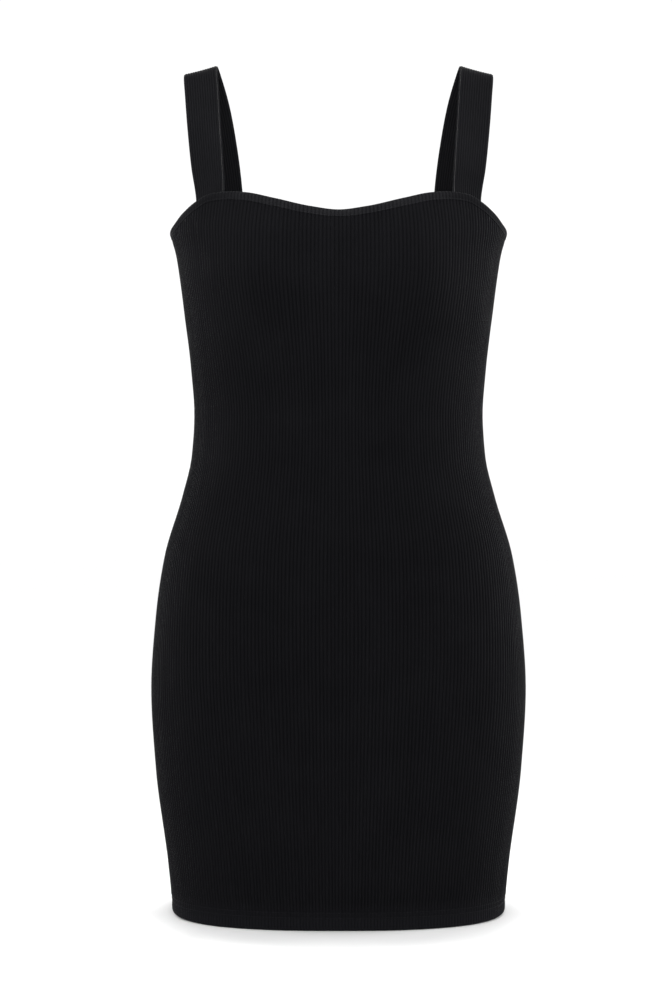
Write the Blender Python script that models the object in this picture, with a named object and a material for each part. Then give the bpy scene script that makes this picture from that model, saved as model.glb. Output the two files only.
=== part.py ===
"""A ribbed bodycon mini dress with wide straps and a soft sweetheart neckline, hollow and filled out
as it is worn.

The cloth is a stretch rib knit with no closure: it is pulled on. Two panels, front and back, meet at the
side seams. A narrow binding of the same cloth finishes the top edge of each panel, and two wide straps, each
a folded tube of the cloth, are sewn inside those bindings and pass over the shoulders.

Frame: Z up, the front faces -Y, and X runs across, with the wearer's left at +X. The origin lies midway
between the two straps, at the height where they rest on the shoulders. Sizes are in millimetres until a mesh
is made.
"""

import functools
import math
from collections import namedtuple

import bmesh
import bpy
import numpy as np

MM = 0.001

# The rib knit. Ribs stand proud of the cloth, and the body's outline runs along their crests.
CLOTH = 1.0  # thickness of the cloth between two ribs
RIB_HEIGHT = 0.6
RIBS_A_PANEL = 112
SEAM_GAP = 0.3  # between two pieces where they are sewn together

# The hem is turned up once inside and stitched.
HEM_DEPTH = 18.0
HEM_LAYER = 1.0

# The binding folds over the top edge of each panel.
BINDING_WIDTH = 7.0
BINDING_PROUD = 0.4  # how far it stands out past the ribs
BINDING_THICKNESS = 2.6
BINDING_ROUND_IN = 0.8  # its top edges are rounded by this much inwards
BINDING_ROUND_DOWN = 1.6  # and this much downwards
BINDING_SEGMENTS = 56  # along each panel, from side seam to side seam

# The straps.
STRAP_WIDTH = 33.2
STRAP_THICKNESS = 1.7  # without the ribs on its outer face
STRAP_RIBS = 13
STRAP_TUCK = 12.0  # how far each end runs down inside the panel
STRAP_ROWS = 17
STRAP_ROW_STEP = 30.0  # rows lie this far apart where the strap is straight
STRAP_ROW_TURN = 14.0  # and turn by this many degrees from one to the next where it bends tightly
STRAP_INSET = 4.4  # from the ribs' crests in to the middle of the strap, where it lies inside the panel

# Rings of points that make each panel. The lowest ones are level, and above FREE_HEIGHT they bend until the
# last follows the top edge. RISES says how far each of those has come.
FREE_HEIGHT = -254.0
LEVEL_RINGS = (-818.0, -722.0, -638.0, -568.0, -506.0, -450.0, -400.0, -350.0, -300.0, FREE_HEIGHT)
RISES = (0.26, 0.48, 0.72, 1.0)
COLUMNS_A_SIDE = RIBS_A_PANEL  # half a panel has half the ribs, and each rib takes two columns
INNER_STEP = 8  # outer columns for each column of the plain inside

# The figure's sections. half_width is at the side seams, front and back are the depths at the centre lines,
# and the fullness is the exponent of that half's curve: 2 is an ellipse, and more is squarer.
Level = namedtuple("Level", "height half_width front back front_fullness back_fullness")
LEVELS = (
    Level(-818, 161.2, 98, 98, 2.45, 2.45),  # hem
    Level(-766, 166.8, 99, 101, 2.38, 2.38),
    Level(-678, 178.5, 103, 110, 2.30, 2.30),
    Level(-600, 183.0, 108, 120, 2.25, 2.25),  # fullest part of the hips
    Level(-530, 178.5, 112, 122, 2.20, 2.20),
    Level(-472, 170.0, 111, 112, 2.20, 2.20),
    Level(-413, 152.5, 105, 95, 2.20, 2.20),
    Level(-374, 143.5, 100, 86, 2.20, 2.20),
    Level(-335, 141.0, 97, 82, 2.20, 2.25),  # waist
    Level(-290, 144.1, 101, 87, 2.20, 2.30),
    Level(-240, 150.1, 109, 96, 2.25, 2.35),
    Level(-205, 154.5, 113, 100, 2.30, 2.35),  # bust
    Level(-178, 158.8, 111, 99, 2.25, 2.30),
    Level(-158, 163.8, 106, 97, 2.20, 2.30),  # underarm
    Level(-100, 166.0, 84, 86, 2.15, 2.30),
)

# The cups are stretched into the cloth: a soft swell on each side of the centre front.
CUP_SWELL = 13.0
CUP_CENTRE = 78.0  # from the centre line
CUP_HEIGHT = -204.0
CUP_HALF_WIDTH = 46.0
CUP_RISE = 66.0
CUP_FALL = 50.0

# The top edges. share runs along the cloth from the centre line, 0, to the side seam, 1.
Edge = namedtuple("Edge", "share height")
FRONT_EDGE = (
    Edge(0.00, -147.4),  # the dip of the sweetheart neckline
    Edge(0.12, -144.0),
    Edge(0.28, -135.6),
    Edge(0.42, -128.6),
    Edge(0.52, -126.8),  # the peak, at the strap
    Edge(0.60, -127.8),
    Edge(0.68, -133.8),
    Edge(0.76, -142.2),
    Edge(0.86, -151.6),
    Edge(1.00, -156.0),  # underarm
)
BACK_EDGE = (
    Edge(0.00, -172.0),
    Edge(0.30, -166.0),
    Edge(0.48, -155.0),
    Edge(0.60, -152.0),  # the peak, at the strap
    Edge(0.76, -154.0),
    Edge(1.00, -156.0),
)

# Where each strap is sewn in, as shares of the panel at the middle of the strap.
STRAP_FRONT_SHARE = 0.612
STRAP_BACK_SHARE = 0.541

# The middle of the left strap between the two top edges. turn is how far its face is turned outwards from
# straight ahead, and slope is how far its outer edge drops with the shoulder, both in degrees.
Station = namedtuple("Station", "across depth height turn slope")
STRAP_PATH = (
    Station(124.7, -61.5, -98.0, 22, 10),
    Station(128.6, -47.0, -59.5, 14, 10),
    Station(132.0, -29.5, -23.0, 7, 12),
    Station(134.2, -14.0, -2.3, 2, 14),
    Station(134.5, 0.0, 2.8, 0, 15),  # on the shoulder
    Station(132.4, 14.5, -2.3, -3, 14),
    Station(126.2, 31.0, -22.5, -8, 12),
    Station(118.2, 50.0, -64.5, -14, 10),
    Station(112.8, 64.0, -110.0, -20, 8),
)

FRONT, BACK = -1, 1  # the side of the figure, and the sign of its depth
SECTION_STEPS = 160  # points worked out along half a section
PATH_STEPS = 200  # and along a strap
STEP_SHARE = 0.004  # how far apart points are taken to find the way that the cloth faces
STEP_HEIGHT = 2.0
SHARP_ANGLE = 50.0  # in degrees: folds tighter than this are shaded as edges


def smooth_value(table, column, at):
    """A table's column at a place along its first one, on a smooth curve that doesn't overshoot its rows."""
    places = np.array([row[0] for row in table], float)
    values = np.array([getattr(row, column) for row in table], float)
    gaps = np.diff(places)
    rates = np.diff(values) / gaps
    slopes = np.zeros(len(places))
    slopes[0], slopes[-1] = rates[0], rates[-1]
    for i in range(1, len(gaps)):
        if rates[i - 1] * rates[i] > 0:
            before, after = 2 * gaps[i] + gaps[i - 1], gaps[i] + 2 * gaps[i - 1]
            slopes[i] = (before + after) / (before / rates[i - 1] + after / rates[i])
    i = int(np.clip(np.searchsorted(places, at) - 1, 0, len(gaps) - 1))
    t = (at - places[i]) / gaps[i]
    start, end = slopes[i] * gaps[i], slopes[i + 1] * gaps[i]
    rise = values[i + 1] - values[i]
    bend = 3 * rise - 2 * start - end + t * (start + end - 2 * rise)
    return float(values[i] + t * (start + t * bend))


def cup_swell(across, height):
    """How far the cups push the front cloth forward."""
    spread = CUP_RISE if height > CUP_HEIGHT else CUP_FALL
    sideways = np.exp(-(((across - CUP_CENTRE) / CUP_HALF_WIDTH) ** 2))
    return CUP_SWELL * sideways * math.exp(-(((height - CUP_HEIGHT) / spread) ** 2))


@functools.cache
def half_section(side, height):
    """Points across the outer cloth at a height, from the centre line to the side seam, and their shares."""
    half_width = smooth_value(LEVELS, "half_width", height)
    depth = smooth_value(LEVELS, "front" if side == FRONT else "back", height)
    fullness = smooth_value(LEVELS, "front_fullness" if side == FRONT else "back_fullness", height)
    angle = np.linspace(0, math.pi / 2, SECTION_STEPS)
    across = half_width * np.sin(angle) ** (2 / fullness)
    out = depth * np.clip(np.cos(angle), 0, 1) ** (2 / fullness)
    if side == FRONT:
        out += cup_swell(across, height) * (1 - (across / half_width) ** 4)  # it fades out at the side seam
    lengths = np.concatenate([[0], np.cumsum(np.hypot(np.diff(across), np.diff(out)))])
    return across, side * out, lengths / lengths[-1], lengths[-1]


def cloth_point(side, share, height):
    """A point on the outline of the cloth. share is negative on the wearer's right."""
    across, depth, shares, _ = half_section(side, height)
    across = math.copysign(1, share) * np.interp(abs(share), shares, across)
    return np.array([across, np.interp(abs(share), shares, depth), height])


def cloth_normal(side, share, height):
    """The way that the cloth faces, outwards."""
    low, high = max(-1.0, share - STEP_SHARE), min(1.0, share + STEP_SHARE)
    along = cloth_point(side, high, height) - cloth_point(side, low, height)
    if abs(share) == 1:
        along = np.array([0.0, math.copysign(1, share) * -side, 0.0])  # square to the side seam
    up = cloth_point(side, share, height + STEP_HEIGHT) - cloth_point(side, share, height - STEP_HEIGHT)
    facing = np.cross(along, up) * -side
    return facing / np.linalg.norm(facing)


def moved_out(side, share, height, distance):
    """A point of the cloth moved out along its normal, or in for less than 0, clear of the side seam."""
    point = cloth_point(side, share, height) + cloth_normal(side, share, height) * distance
    return point + np.array([0.0, side * SEAM_GAP / 2, 0.0])


def edge_height(side, share):
    """The height of a panel's finished top edge."""
    half = FRONT_EDGE if side == FRONT else BACK_EDGE
    mirrored = [Edge(-row.share, row.height) for row in reversed(half[1:])]
    return smooth_value((*mirrored, *half), "height", share)


@functools.cache
def binding_foot(side, share):
    """The height of the binding's lower edge, so that it is equally wide where the top edge slants."""
    near, far = max(0.0, abs(share) - STEP_SHARE), min(1.0, abs(share) + STEP_SHARE)
    *_, length = half_section(side, edge_height(side, share))
    slant = (edge_height(side, far) - edge_height(side, near)) / ((far - near) * length)
    return edge_height(side, share) - BINDING_WIDTH * math.hypot(1, slant)


def panel_top(side, share):
    """The height of a panel's top rim, which runs just under the straight segments of its binding."""
    segments = BINDING_SEGMENTS / 2
    segment = min(math.floor(abs(share) * segments), segments - 1)
    near, far = binding_foot(side, segment / segments), binding_foot(side, (segment + 1) / segments)
    return near + (far - near) * (abs(share) * segments - segment) - SEAM_GAP


def ring_height(side, share, ring):
    """The height of a ring of the panel at a share: level low down, and along the top edge at the last."""
    if ring < len(LEVEL_RINGS):
        return LEVEL_RINGS[ring]
    return FREE_HEIGHT + (panel_top(side, share) - FREE_HEIGHT) * RISES[ring - len(LEVEL_RINGS)]


def make_solid(name, bm, material):
    """The object for a closed bmesh, with its faces pointing out and its size in metres."""
    bmesh.ops.scale(bm, vec=(MM, MM, MM), verts=bm.verts)
    bmesh.ops.recalc_face_normals(bm, faces=bm.faces)
    mesh = bpy.data.meshes.new(name)
    bm.to_mesh(mesh)
    bm.free()
    mesh.materials.append(material)
    mesh.shade_smooth()
    mesh.set_sharp_from_angle(angle=math.radians(SHARP_ANGLE))
    made = bpy.data.objects.new(name, mesh)
    bpy.context.scene.collection.objects.link(made)
    return made


def skin_between(bm, low, high):
    """Faces between two chains of vertices that run side by side: triangles where one has more vertices."""
    if len(low) == len(high):
        for i in range(len(low) - 1):
            bm.faces.new((low[i], low[i + 1], high[i + 1], high[i]))
        return
    low_at, high_at = shares_along(low), shares_along(high)
    i = j = 0
    while i < len(low) - 1 or j < len(high) - 1:
        if j == len(high) - 1 or (i < len(low) - 1 and low_at[i + 1] <= high_at[j + 1]):
            bm.faces.new((low[i], low[i + 1], high[j]))
            i += 1
        else:
            bm.faces.new((low[i], high[j + 1], high[j]))
            j += 1


def shares_along(chain):
    """How far along a chain of vertices each one is, from 0 to 1."""
    lengths = np.cumsum([0.0] + [(b.co - a.co).length for a, b in zip(chain, chain[1:])])
    return lengths / lengths[-1]


def skin_rows(bm, rows):
    for low, high in zip(rows, rows[1:]):
        skin_between(bm, low, high)


def make_wall(name, outer_rows, inner_rows, material):
    """A wall of cloth between rows of outer and of inner points, lowest first, closed along its edges."""
    bm = bmesh.new()
    outer = [[bm.verts.new(point) for point in row] for row in outer_rows]
    inner = [[bm.verts.new(point) for point in row] for row in inner_rows]
    skin_rows(bm, outer)
    skin_rows(bm, inner)
    skin_between(bm, outer[0], inner[0])
    skin_between(bm, outer[-1], inner[-1])
    for end in (0, -1):
        skin_between(bm, [row[end] for row in outer], [row[end] for row in inner])
    return make_solid(name, bm, material)


def make_loft(name, sections, material):
    """A solid through closed sections with as many points each, filled at both ends."""
    bm = bmesh.new()
    rings = [[bm.verts.new(point) for point in section] for section in sections]
    skin_rows(bm, [ring + ring[:1] for ring in rings])
    bm.faces.new(rings[0])
    bm.faces.new(rings[-1])
    return make_solid(name, bm, material)


def make_panel(name, side, material):
    """The front or back of the dress, ribbed outside, plain inside, with its hem turned up."""
    rings = range(len(LEVEL_RINGS) + len(RISES))
    columns = range(-COLUMNS_A_SIDE, COLUMNS_A_SIDE + 1)
    shares = [column / COLUMNS_A_SIDE for column in columns]
    dips = [-RIB_HEIGHT * (1 - column % 2) for column in columns]
    outer_rows = [
        [moved_out(side, share, ring_height(side, share, ring), dip) for share, dip in zip(shares, dips)]
        for ring in rings
    ]
    inside = -(RIB_HEIGHT + CLOTH)
    hem_top = LEVEL_RINGS[0] + HEM_DEPTH
    hem_rows = (
        (LEVEL_RINGS[0], inside - HEM_LAYER),
        (hem_top, inside - HEM_LAYER),
        (hem_top + SEAM_GAP, inside),
    )
    inner_rows = [
        [moved_out(side, share, height, out) for share in shares[::INNER_STEP]] for height, out in hem_rows
    ]
    for ring in rings[1:]:
        step = 2 * COLUMNS_A_SIDE // BINDING_SEGMENTS if ring == rings[-1] else INNER_STEP
        inner_rows.append(
            [moved_out(side, share, ring_height(side, share, ring), inside) for share in shares[::step]]
        )
    return make_wall(name, outer_rows, inner_rows, material)


def make_binding(name, side, material):
    """The narrow binding over a panel's top edge: a flat roll with a rounded top."""
    inside = BINDING_PROUD - BINDING_THICKNESS
    sections = []
    for i in range(BINDING_SEGMENTS + 1):
        share = 2 * i / BINDING_SEGMENTS - 1
        foot, top = binding_foot(side, share), edge_height(side, share)
        outline = (
            (foot, BINDING_PROUD),
            (top - BINDING_ROUND_DOWN, BINDING_PROUD),
            (top, BINDING_PROUD - BINDING_ROUND_IN),
            (top, inside + BINDING_ROUND_IN),
            (top - BINDING_ROUND_DOWN, inside),
            (foot, inside),
        )
        sections.append([moved_out(side, share, height, out) for height, out in outline])
    return make_loft(name, sections, material)


def tucked_row(side, middle_share, below_edge, places):
    """A row of points across a strap where it lies inside a panel, below the panel's top edge."""
    *_, length = half_section(side, edge_height(side, middle_share))
    row = []
    for place in places:
        share = middle_share + place / length
        row.append(moved_out(side, share, edge_height(side, share) - below_edge, -STRAP_INSET))
    return row


def station_row(station, places):
    """A row of points across a strap between the panels."""
    turn, slope = math.radians(station.turn), math.radians(station.slope)
    out = np.array([math.cos(turn) * math.cos(slope), math.sin(turn) * math.cos(slope), -math.sin(slope)])
    middle = np.array([station.across, station.depth, station.height])
    return [middle + out * place for place in places]


def spline_rows(rows, places):
    """Rows on a smooth curve through the given ones, at places from 0 at the first to 1 at the last."""
    points = np.array(rows)
    middles = points.mean(axis=1)
    at = np.concatenate([[0], np.cumsum(np.linalg.norm(np.diff(middles, axis=0), axis=1))])
    at /= at[-1]
    slopes = np.gradient(points, at, axis=0)
    made = []
    for place in places:
        i = int(np.clip(np.searchsorted(at, place) - 1, 0, len(at) - 2))
        gap = at[i + 1] - at[i]
        t = (place - at[i]) / gap
        start, end = slopes[i] * gap, slopes[i + 1] * gap
        rise = points[i + 1] - points[i]
        bend = 3 * rise - 2 * start - end + t * (start + end - 2 * rise)
        made.append(points[i] + t * (start + t * bend))
    return np.array(made)


def row_places(rows, count):
    """Where to put rows along a strap so that they lie closer together the more it bends."""
    places = np.linspace(0, 1, PATH_STEPS)
    steps = np.diff(spline_rows(rows, places).mean(axis=1), axis=0)
    lengths = np.linalg.norm(steps, axis=1)
    headings = steps / lengths[:, None]
    turns = np.degrees(np.arccos(np.clip((headings[1:] * headings[:-1]).sum(axis=1), -1, 1)))
    rows_needed = lengths / STRAP_ROW_STEP + np.append(turns, 0) / STRAP_ROW_TURN
    so_far = np.concatenate([[0], np.cumsum(rows_needed)])
    return np.interp(np.linspace(0, so_far[-1], count), so_far, places)


def make_strap(name, hand, material):
    """A strap from inside the front panel, over the shoulder, to inside the back one. hand is 1 at +X."""
    places = np.linspace(-STRAP_WIDTH / 2, STRAP_WIDTH / 2, 2 * STRAP_RIBS + 1)
    rows = [
        tucked_row(FRONT, STRAP_FRONT_SHARE, STRAP_TUCK, places),
        tucked_row(FRONT, STRAP_FRONT_SHARE, 0.0, places),
        *(station_row(station, places) for station in STRAP_PATH),
        tucked_row(BACK, STRAP_BACK_SHARE, 0.0, places),
        tucked_row(BACK, STRAP_BACK_SHARE, STRAP_TUCK, places),
    ]
    middle = spline_rows(rows, row_places(rows, STRAP_ROWS))
    facing = np.cross(np.gradient(middle, axis=1), np.gradient(middle, axis=0))
    facing /= np.linalg.norm(facing, axis=2, keepdims=True)
    crests = np.array([i % 2 * RIB_HEIGHT for i in range(len(places))])[:, None]
    sections = []
    for points, normals in zip(middle, facing):
        outer = points + normals * (STRAP_THICKNESS / 2 + crests)
        inner = points - normals * STRAP_THICKNESS / 2
        section = np.concatenate([outer, inner[[-1, len(places) // 2, 0]]])
        sections.append(section * np.array([hand, 1, 1]))
    return make_loft(name, sections, material)


def cloth_material(name, colour, roughness):
    """Cotton rib, matt, with no metal in it."""
    material = bpy.data.materials.new(name)
    material.use_nodes = True
    shader = material.node_tree.nodes["Principled BSDF"]
    shader.inputs["Base Color"].default_value = (*colour, 1)
    shader.inputs["Roughness"].default_value = roughness
    shader.inputs["Metallic"].default_value = 0
    return material


def clear_scene():
    for found in list(bpy.data.objects):
        bpy.data.objects.remove(found)


def main():
    clear_scene()
    rib_knit = cloth_material("black_rib_knit", (0.010, 0.010, 0.012), 0.90)
    strap_knit = cloth_material("black_rib_strap", (0.013, 0.013, 0.015), 0.88)
    binding_knit = cloth_material("black_rib_binding", (0.014, 0.014, 0.016), 0.85)
    make_panel("front_panel", FRONT, rib_knit)
    make_panel("back_panel", BACK, rib_knit)
    make_binding("front_binding", FRONT, binding_knit)
    make_binding("back_binding", BACK, binding_knit)
    make_strap("left_strap", 1, strap_knit)
    make_strap("right_strap", -1, strap_knit)


main()
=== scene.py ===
"""A black rib-knit bodycon mini dress, filled out as it is worn.

The file follows the dress as it is sewn: the front and back panels, their side seams and turned-up hem,
the bindings on the top edges, the straps, and the rows of stitching that hold them. The studio comes last.

Sizes are in millimetres until a mesh is made. Z is up, the front faces -Y, and the wearer's left is at +X.
A place on the cloth is a share, from -1 at the wearer's right side seam through 0 at the centre line to 1 at
the left side seam, and a height.
"""

import math
from collections import namedtuple

import bmesh
import bpy
import numpy as np
from mathutils import Matrix, Vector


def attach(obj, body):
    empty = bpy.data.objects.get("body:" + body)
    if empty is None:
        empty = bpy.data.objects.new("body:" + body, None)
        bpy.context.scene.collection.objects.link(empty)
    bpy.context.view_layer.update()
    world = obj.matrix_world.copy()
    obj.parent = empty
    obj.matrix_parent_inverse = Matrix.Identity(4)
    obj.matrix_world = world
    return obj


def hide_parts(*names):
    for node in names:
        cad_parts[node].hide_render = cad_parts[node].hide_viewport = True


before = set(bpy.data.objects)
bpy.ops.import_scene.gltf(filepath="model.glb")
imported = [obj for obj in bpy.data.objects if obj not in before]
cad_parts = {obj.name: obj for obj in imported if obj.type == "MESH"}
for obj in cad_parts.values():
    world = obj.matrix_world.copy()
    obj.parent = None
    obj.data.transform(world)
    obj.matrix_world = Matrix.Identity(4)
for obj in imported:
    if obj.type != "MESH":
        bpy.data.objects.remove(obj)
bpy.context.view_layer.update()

# ------------------------------------------------------------------------------------------------------------
# The front panel. One piece of stretch cotton rib, cut with its ribs running from hem to bust and widened
# towards the hem, so that the outer ribs run off into the side seams. Its hem is turned up inside and held by
# two rows of stitching. Pulled over a figure, it shows only faint drag lines.

MM = 0.001
FRONT, BACK = -1, 1  # the side of the figure, and the sign of its depth

Level = namedtuple("Level", "height half_width front back front_fullness back_fullness")
LEVELS = (
    Level(-818, 161.2, 98, 98, 2.45, 2.45),  # hem
    Level(-766, 166.8, 99, 101, 2.38, 2.38),
    Level(-678, 178.5, 103, 110, 2.30, 2.30),
    Level(-600, 183.0, 108, 120, 2.25, 2.25),  # fullest part of the hips
    Level(-530, 178.5, 112, 122, 2.20, 2.20),
    Level(-472, 170.0, 111, 112, 2.20, 2.20),
    Level(-413, 152.5, 105, 95, 2.20, 2.20),
    Level(-374, 143.5, 100, 86, 2.20, 2.20),
    Level(-335, 141.0, 97, 82, 2.20, 2.25),  # waist
    Level(-290, 144.1, 101, 87, 2.20, 2.30),
    Level(-240, 150.1, 109, 96, 2.25, 2.35),
    Level(-205, 154.5, 113, 100, 2.30, 2.35),  # bust
    Level(-178, 158.8, 111, 99, 2.25, 2.30),
    Level(-158, 163.8, 106, 97, 2.20, 2.30),  # underarm
    Level(-100, 166.0, 84, 86, 2.15, 2.30),
)
CUP_SWELL = 13.0
CUP_CENTRE = 78.0
CUP_HEIGHT = -204.0
CUP_HALF_WIDTH = 46.0
CUP_RISE = 66.0
CUP_FALL = 50.0

Edge = namedtuple("Edge", "share height")
FRONT_EDGE = (
    Edge(0.00, -147.4),  # the dip of the sweetheart neckline
    Edge(0.12, -144.0),
    Edge(0.28, -135.6),
    Edge(0.42, -128.6),
    Edge(0.52, -126.8),  # the peak, at the strap
    Edge(0.60, -127.8),
    Edge(0.68, -133.8),
    Edge(0.76, -142.2),
    Edge(0.86, -151.6),
    Edge(1.00, -156.0),  # underarm
)
BACK_EDGE = (
    Edge(0.00, -172.0),
    Edge(0.30, -166.0),
    Edge(0.48, -155.0),
    Edge(0.60, -152.0),  # the peak, at the strap
    Edge(0.76, -154.0),
    Edge(1.00, -156.0),
)
# How wide the binding on the top edge shows: a little wider where it rounds the peaks.
Width = namedtuple("Width", "share width")
BINDING_WIDTHS = (
    Width(0.00, 7.1),
    Width(0.10, 7.9),
    Width(0.30, 8.5),
    Width(0.55, 8.7),
    Width(0.75, 8.1),
    Width(1.00, 7.2),
)
SEAM_GAP = 0.3  # between the front and the back, where they are sewn together

# Ribs across a panel. Those that the waist and bust have no room for run off into the side seams.
Count = namedtuple("Count", "height ribs")
RIB_COUNTS = (
    Count(-818, 143),
    Count(-700, 139),
    Count(-600, 135),
    Count(-335, 124),
    Count(-250, 121),
    Count(-100, 121),
)
RIBS_AT_HEM = RIB_COUNTS[0].ribs
RIBS_AT_EDGE = RIB_COUNTS[-1].ribs
RIB_COLUMNS = 6  # of the mesh, in each rib
RIB_HEIGHT = 0.6
RIB_ROUNDNESS = 0.7  # under 1 the ribs have full round crests and narrow valleys
CLOTH = 1.0  # thickness of the cloth between two ribs
SEAM_DIP = 0.9  # how deep the side seam pulls in the ribs' crests, and
SEAM_PULL = 2.6  # how far from the seam
WAVER = 0.22  # how far a rib strays sideways
UNEVEN = 0.12  # and by what part its height varies
SEAM_LIFT = 2.0  # how far the side seams draw the hem up,
SEAM_LIFT_REACH = 42.0  # how far along the hem that shows, and
SEAM_LIFT_FADE = 9.0  # how far up

HEM = -818.0
# Rows of the mesh at the hem. ribs is how far the ribs stand there, against their full height. face is the
# outside of the cloth, and back is the inside of the turned-up layer.
HemRow = namedtuple("HemRow", "face_height face_out ribs back_height back_out")
HEM_ROWS = (
    HemRow(0.0, -1.10, 0.2, 0.35, -2.35),  # the fold
    HemRow(0.3, -0.20, 0.6, 1.2, -2.65),
    HemRow(1.0, 0.42, 0.9, 2.6, -2.60),
    HemRow(2.4, 0.72, 1.0, 4.6, -2.50),
    HemRow(5.0, 0.66, 1.0, 7.4, -2.45),
    HemRow(8.4, 0.38, 1.0, 9.8, -2.50),
    HemRow(11.0, 0.02, 0.8, 11.2, -2.50),
    HemRow(12.0, -0.34, 0.5, 12.0, -2.40),  # the lower row of stitching
    HemRow(12.9, -0.04, 0.8, 12.9, -2.55),
    HemRow(14.3, 0.12, 1.0, 14.3, -2.65),
    HemRow(15.7, -0.04, 0.8, 15.7, -2.55),
    HemRow(16.6, -0.34, 0.5, 16.6, -2.40),  # the upper row of stitching
    HemRow(17.5, -0.02, 0.8, 17.4, -2.55),
    HemRow(18.7, 0.30, 1.0, 18.2, -2.50),  # the raw edge inside pushes the cloth out
    HemRow(20.4, 0.26, 1.0, 18.5, -1.65),
    HemRow(23.5, 0.08, 1.0, 23.5, -1.60),
)
LAST_HEM_ROW = len(HEM_ROWS) - 1
FREE_HEIGHT = -254.0  # above this the rows bend until the last follows the top edge
LEVEL_ROWS = 66  # between the hem and there
BENT_ROWS = 15
RIM_TUCK = 1.6  # how far the panel runs up inside its binding

# Faint drag lines and hollows. long and wide are half sizes, out is how far they stand out, or in under 0,
# and turn is how far a line rises towards the side seam, in degrees.
Crease = namedtuple("Crease", "share height long wide out turn")
FRONT_CREASES = (
    Crease(0.00, -618, 74, 44, -3.2, 0),  # below the belly
    Crease(0.00, -690, 95, 34, -1.8, 90),  # between the thighs
    Crease(0.46, -600, 62, 17, -0.7, 28),
    Crease(-0.50, -622, 54, 15, -0.6, 33),
    Crease(0.72, -334, 30, 7, -0.8, 12),  # the waist gives at the sides
    Crease(0.78, -352, 24, 6, 0.5, 6),
    Crease(-0.70, -326, 34, 8, -0.7, 9),
    Crease(-0.80, -346, 22, 6, 0.5, 15),
    Crease(0.80, -226, 34, 9, -0.7, -38),  # from the side of the bust
    Crease(-0.77, -234, 38, 10, -0.6, -42),
    Crease(0.22, -286, 52, 15, -0.6, -64),
    Crease(-0.26, -296, 44, 13, -0.5, -58),
    Crease(0.10, -470, 70, 20, 0.5, 20),
    Crease(-0.34, -716, 46, 14, -0.5, 74),
    Crease(0.38, -742, 52, 16, -0.5, 80),
)


def smooth_rise(rise, start, end, t):
    """How far a curve has risen after a part t of its way, with its slopes at the start and at the end."""
    bend = 3 * rise - 2 * start - end + t * (start + end - 2 * rise)
    return t * (start + t * bend)


def smooth_values(table, column, at):
    """A table's column at places along its first one, on a smooth curve that doesn't overshoot its rows."""
    places = np.array([row[0] for row in table], float)
    values = np.array([getattr(row, column) for row in table], float)
    gaps = np.diff(places)
    rates = np.diff(values) / gaps
    slopes = np.zeros(len(places))
    slopes[0], slopes[-1] = rates[0], rates[-1]
    for i in range(1, len(gaps)):
        if rates[i - 1] * rates[i] > 0:
            before, after = 2 * gaps[i] + gaps[i - 1], gaps[i] + 2 * gaps[i - 1]
            slopes[i] = (before + after) / (before / rates[i - 1] + after / rates[i])
    i = np.clip(np.searchsorted(places, at) - 1, 0, len(gaps) - 1)
    t = (at - places[i]) / gaps[i]
    rise = values[i + 1] - values[i]
    return values[i] + smooth_rise(rise, slopes[i] * gaps[i], slopes[i + 1] * gaps[i], t)


def cup_swell(across, height):
    """How far the cups, stretched into the cloth, push the front forward."""
    spread = np.where(height > CUP_HEIGHT, CUP_RISE, CUP_FALL)
    sideways = np.exp(-(((across - CUP_CENTRE) / CUP_HALF_WIDTH) ** 2))
    return CUP_SWELL * sideways * np.exp(-(((height - CUP_HEIGHT) / spread) ** 2))


NET_LOW = -825.0
NET_HIGH = -100.0
NET_COLUMNS = 481  # from side seam to side seam, with a row at every millimetre of height
GIRTH_STEPS = 240  # in measuring the cloth from the centre line to the side seam


def figure_net(side):
    """Points of one side of the figure at even heights and shares, the way it faces, and half its girth."""
    heights = np.arange(NET_LOW, NET_HIGH + 1)[:, None]
    half_width = smooth_values(LEVELS, "half_width", heights)
    depth = smooth_values(LEVELS, "front" if side == FRONT else "back", heights)
    fullness = smooth_values(LEVELS, "front_fullness" if side == FRONT else "back_fullness", heights)
    angle = np.linspace(0, math.pi / 2, GIRTH_STEPS + 1)
    across = half_width * np.sin(angle) ** (2 / fullness)
    out = depth * np.clip(np.cos(angle), 0, 1) ** (2 / fullness)
    if side == FRONT:
        out += cup_swell(across, heights) * (1 - (across / half_width) ** 4)  # none at the side seams
    steps = np.hypot(np.diff(across, axis=1), np.diff(out, axis=1))
    lengths = np.concatenate([np.zeros_like(heights), np.cumsum(steps, axis=1)], axis=1)
    shares = np.linspace(-1, 1, NET_COLUMNS)
    points = np.empty((len(heights), NET_COLUMNS, 3))
    for row, length in enumerate(lengths):
        even = np.abs(shares) * length[-1]
        points[row, :, 0] = np.sign(shares) * np.interp(even, length, across[row])
        points[row, :, 1] = side * np.interp(even, length, out[row])
        points[row, :, 2] = heights[row]
    along, up = np.gradient(points, axis=1), np.gradient(points, axis=0)
    along[:, [0, -1]] = [[0, side, 0], [0, -side, 0]]  # square to the side seams
    facing = np.cross(along, up) * -side
    facing /= np.linalg.norm(facing, axis=2, keepdims=True)
    return points, facing, lengths[:, -1]


NETS = {side: figure_net(side) for side in (FRONT, BACK)}


def from_net(values, share, height):
    """The values of a net between its points."""
    row = np.clip(height - NET_LOW, 0, len(values) - 1.001)
    column = np.clip((share + 1) / 2, 0, 1) * (NET_COLUMNS - 1)
    column = np.minimum(column, NET_COLUMNS - 1.001)
    i, j = row.astype(int), column.astype(int)
    row, column = (row - i)[:, None], (column - j)[:, None]
    low = values[i, j] * (1 - column) + values[i, j + 1] * column
    high = values[i + 1, j] * (1 - column) + values[i + 1, j + 1] * column
    return low * (1 - row) + high * row


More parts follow.
